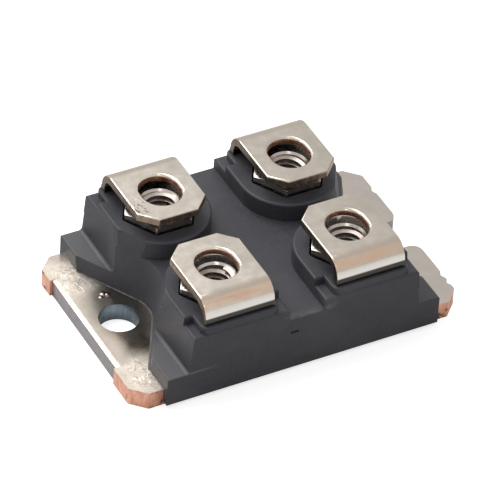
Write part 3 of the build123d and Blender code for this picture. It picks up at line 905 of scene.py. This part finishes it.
plate = box_cutter(plate_low, plate_high)
plate.name = "stamped_plate"
bpy.ops.object.mode_set(mode="EDIT")
select_where("EDGE", lambda e: near(e.verts[0].co.x, e.verts[1].co.x)
             and near(e.verts[0].co.y, e.verts[1].co.y))
bpy.ops.mesh.bevel(offset=PLATE_CORNER_CUT, segments=1, affect="EDGES")
bpy.ops.object.mode_set(mode="OBJECT")
hole_x = plate_high.x - HOLE_TO_END
low_z = plate_low.z - over
high_z = plate_high.z + over
relief_low = Vector((plate_low.x - over, RELIEF_FROM, low_z))
relief_high = Vector((plate_low.x + RELIEF_DEPTH, RELIEF_TO, high_z))
combine(plate, box_cutter(relief_low, relief_high), "DIFFERENCE")
combine(plate, round_cutter(HOLE_RADIUS, low_z, high_z, (-hole_x, 0)), "DIFFERENCE")
combine(plate, round_cutter(HOLE_RADIUS, low_z, high_z, (hole_x, 0)), "DIFFERENCE")
slot_low = Vector((hole_x, -HOLE_RADIUS, low_z))
slot_high = Vector((plate_high.x + over, HOLE_RADIUS, high_z))
combine(plate, box_cutter(slot_low, slot_high), "DIFFERENCE")
for nick_y, half_width in NICKS:
    notch = round_cutter(half_width, low_z, high_z, (plate_high.x, nick_y), sides=4)
    only(notch)
    squeeze = (NICK_DEPTH / half_width, 1, 1)
    bpy.ops.transform.resize(value=squeeze, center_override=(plate_high.x, nick_y, 0))
    bake_place(notch)
    combine(plate, notch, "DIFFERENCE")
print("The blank measures", size_in_mm(plate), "mm")

# %% Roll its edges
only(plate)
bpy.ops.object.mode_set(mode="EDIT")
select_where("EDGE", lambda e: ends_pass(e, lambda p: near(p.x, plate_high.x)
                                         and near(abs(p.y), HOLE_RADIUS)))
bpy.ops.mesh.bevel(offset=MOUTH_ROUND, segments=8, affect="EDGES")
bpy.ops.object.mode_set(mode="OBJECT")
roll_radius = ROLL_WIDTH / sin(radians(ROLL_TILTS[-1]))
roll_middle = Vector((plate_low.x + RELIEF_DEPTH + ROLL_WIDTH, 0, plate_high.z - roll_radius))
for tilt in ROLL_TILTS:
    touch = roll_middle + roll_radius * Vector((-sin(radians(tilt)), 0, cos(radians(tilt))))
    slope_low = Vector((touch.x - 3 * MM, RELIEF_FROM, touch.z))
    slope_high = Vector((touch.x + MM, RELIEF_TO, touch.z + MM))
    slope = box_cutter(slope_low, slope_high)
    bpy.ops.transform.rotate(value=radians(tilt), orient_axis="Y", center_override=touch)
    bake_place(slope)
    combine(plate, slope, "DIFFERENCE")

# %% [markdown]
# Near the hole the photograph shows small bright spots. They look like a splash of solder, so they are
# made as three flat drops.

# %% A splash of solder
DROPS = [((-14.95, 4.05), 0.40), ((-14.55, 3.82), 0.34), ((-15.36, 3.70), 0.28)]
DROP_FLATNESS = 0.45
drops = []
for (drop_x, drop_y), radius in DROPS:
    drop_place = Vector((drop_x * MM, drop_y * MM, plate_high.z))
    bpy.ops.object.select_all(action="DESELECT")
    bpy.ops.mesh.primitive_uv_sphere_add(segments=24, ring_count=12, radius=radius * MM, location=drop_place)
    drop = bpy.context.object
    drop.scale = (1, 1, DROP_FLATNESS)
    bake_place(drop)
    drops.append(drop)
for drop in drops:
    combine(plate, drop, "UNION")

# %% [markdown]
# The upright faces get different finishes. The hole, the slot and the recessed left end are grey. The
# corners, the left tabs, the right end and the long sides are salmon. In the photograph the front long
# side is brown at its left end, and that brown is missing here: each long side is one face with its
# middle at x = 0, so the test for the tarnished finish below finds no face.

# %% Five materials on one plate
NICKEL, TORN, SHEARED, TARNISHED, PUNCHED = range(5)
MOUTH_REACH = HOLE_RADIUS + MOUTH_ROUND + SLACK

def plate_finish(face):
    """Which of the five finishes a face of the plate has."""
    middle = face.center
    if abs(face.normal.z) > 0.3:
        return NICKEL
    if (middle.xy - Vector((-hole_x, 0))).length < HOLE_RADIUS:
        return PUNCHED
    if middle.x > 0 and abs(middle.y) < MOUTH_REACH:
        return SHEARED
    if face.normal.x < -0.9 and middle.x > plate_low.x + RELIEF_DEPTH / 2:
        return SHEARED
    if middle.x < 0 and abs(face.normal.y) > 0.9 and abs(middle.y) > plate_high.y - SLACK:
        return TARNISHED
    return TORN


for material in (plate_nickel, torn_copper, sheared_wall, tarnished_copper, punched_wall):
    plate.data.materials.append(material)
for face in plate.data.polygons:
    face.material_index = plate_finish(face)
print("Upright faces of the plate:", sum(face.material_index > 0 for face in plate.data.polygons))
round_edges(plate, PLATE_EDGE)
shade(plate)
place_piece(plate, "base_plate")

# %% [markdown]
# ## The moulded block and the pieces inside
# Their CAD solids have the right shape, so they only get their finishes.

# %% Dress the CAD nodes
slot_of = {entry["node"]: entry["material_slot"] for entry in frame["record"]["subparts"]}

def dress(node, material):
    """Puts one material in every slot of a CAD node."""
    for index in range(len(node.material_slots)):
        node.material_slots[index].material = material


dress(frame["nodes"]["moulded_body"], moulding)
for name, node in frame["nodes"].items():
    if slot_of[name] in inner_finishes:
        dress(node, inner_finishes[slot_of[name]])
print("CAD nodes dressed:", 1 + sum(slot in inner_finishes for slot in slot_of.values()))

# %% [markdown]
# In the photograph a fine grey line runs along the foot of the notch round the screw hole. It looks like
# moulding flash, a thin film of compound on the plate, and it is made as that.

# %% The flash at the foot of the notch
NOTCH_MIDDLE = Vector((-15.1, 0)) * MM
NOTCH_RADIUS = 3.55 * MM
NOTCH_TOUCH = Vector((-12.01, 1.75)) * MM
NOTCH_CORNER = Vector((-15.8, 8.45)) * MM
FLASH_REACH = 0.16 * MM
FLASH_BURIED = 0.05 * MM
flash_bottom = plate_high.z - SAME
flash_top = plate_high.z + 0.06 * MM
thin_flash = grained("thin_flash", (0.08, 0.078, 0.082), (0.16, 0.155, 0.16), 0.5 * MM, (0.35, 0.5))

flash = round_cutter(NOTCH_RADIUS + FLASH_BURIED, flash_bottom, flash_top, NOTCH_MIDDLE)
flash.name = "moulding_flash"
hollow = round_cutter(NOTCH_RADIUS - FLASH_REACH, flash_bottom - MM, flash_top + MM, NOTCH_MIDDLE)
combine(flash, hollow, "DIFFERENCE")
open_side = Vector((NOTCH_TOUCH.x, NOTCH_RADIUS * 2, flash_top + MM))
far_corner = Vector((NOTCH_MIDDLE.x - NOTCH_RADIUS * 2, -NOTCH_RADIUS * 2, flash_bottom - MM))
combine(flash, box_cutter(far_corner, open_side), "DIFFERENCE")
flare = NOTCH_CORNER - NOTCH_TOUCH
for side in (-1, 1):
    bar_low = Vector((0, -FLASH_BURIED if side > 0 else -FLASH_REACH, flash_bottom))
    bar_high = Vector((flare.length, FLASH_REACH if side > 0 else FLASH_BURIED, flash_top))
    bar = box_cutter(bar_low, bar_high)
    bar.rotation_euler.z = side * flare.angle_signed(Vector((1, 0)))
    bar.location = (NOTCH_TOUCH.x, side * NOTCH_TOUCH.y, 0)
    bake_place(bar)
    combine(flash, bar, "UNION")
flash.data.materials.clear()
flash.data.materials.append(thin_flash)
round_edges(flash, 0.03 * MM, steps=2)
shade(flash)
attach(flash, "root")
print("The flash measures", size_in_mm(flash), "mm")

# %% [markdown]
# ## The size of the dressed module
# The new pieces must not make the module any bigger than its CAD model, so the growth is printed.

# %% Print the growth
visual_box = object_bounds()
growth = [visual_box[1][axis] - visual_box[0][axis] - cad_size[axis] for axis in range(3)]
print("The dressed module is larger by", [round(side / MM, 3) for side in growth], "mm")
